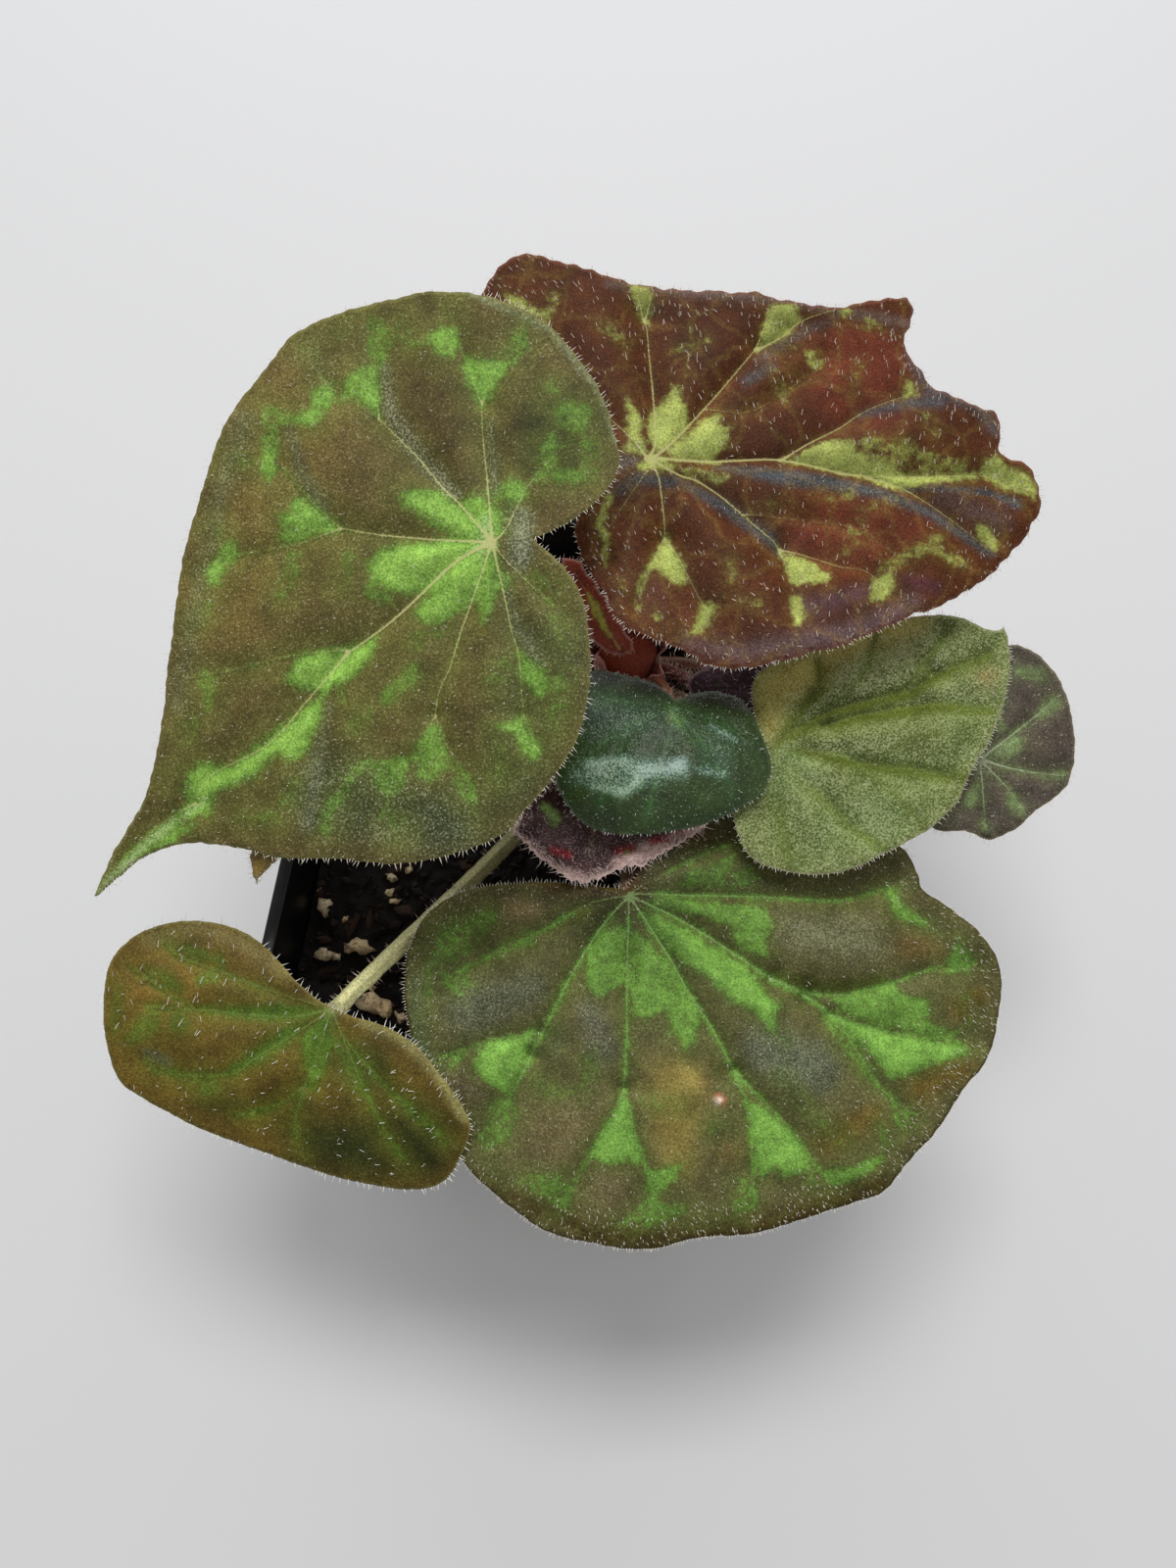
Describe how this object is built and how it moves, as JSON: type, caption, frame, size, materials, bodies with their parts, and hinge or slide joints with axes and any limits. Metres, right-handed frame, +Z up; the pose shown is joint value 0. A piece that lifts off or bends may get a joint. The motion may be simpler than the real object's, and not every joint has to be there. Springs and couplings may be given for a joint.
{
  "type": "potted begonia",
  "caption": "House plant with broad, patterned, hairy leaves on stalks that rise from a short rhizome in soil, in a square tapered nursery pot that stands on its flat base.",
  "frame": {"origin": "centre of the pot's flat base, on the surface it stands on", "axes": "+Z up, +Y away from the viewer of the picture, +X to the viewer's right; the square pot is turned 10 degrees clockwise about +Z, as seen from above"},
  "size_m": [0.1492, 0.1477, 0.1428],
  "materials": {
    "pot_plastic": "satin",
    "potting_soil": "matte",
    "rhizome_skin": "matte",
    "leaf_stalk": "satin",
    "blade_green_brown": "satin",
    "blade_red_brown": "satin",
    "blade_dark_green": "gloss",
    "blade_silvery_green": "satin",
    "blade_grey_green": "satin",
    "blade_bright_green": "satin",
    "blade_olive": "satin",
    "blade_young_pink": "matte",
    "blade_young_red": "matte",
    "blade_dark_purple": "matte",
    "blade_small_olive": "matte"
  },
  "bodies": {
    "root": {"pot": "pot_plastic", "soil": "potting_soil", "rhizome": "rhizome_skin", "leaf_01_blade": "blade_green_brown", "leaf_01_stalk": "leaf_stalk", "leaf_02_blade": "blade_red_brown", "leaf_02_stalk": "leaf_stalk", "leaf_03_blade": "blade_dark_green", "leaf_03_stalk": "leaf_stalk", "leaf_04_blade": "blade_silvery_green", "leaf_04_stalk": "leaf_stalk", "leaf_05_blade": "blade_grey_green", "leaf_05_stalk": "leaf_stalk", "leaf_06_blade": "blade_bright_green", "leaf_06_stalk": "leaf_stalk", "leaf_07_blade": "blade_olive", "leaf_07_stalk": "leaf_stalk", "leaf_08_blade": "blade_young_pink", "leaf_08_stalk": "leaf_stalk", "leaf_09_blade": "blade_young_red", "leaf_09_stalk": "leaf_stalk", "leaf_10_blade": "blade_dark_purple", "leaf_10_stalk": "leaf_stalk", "leaf_11_blade": "blade_small_olive", "leaf_11_stalk": "leaf_stalk"}
  },
  "joints": []
}
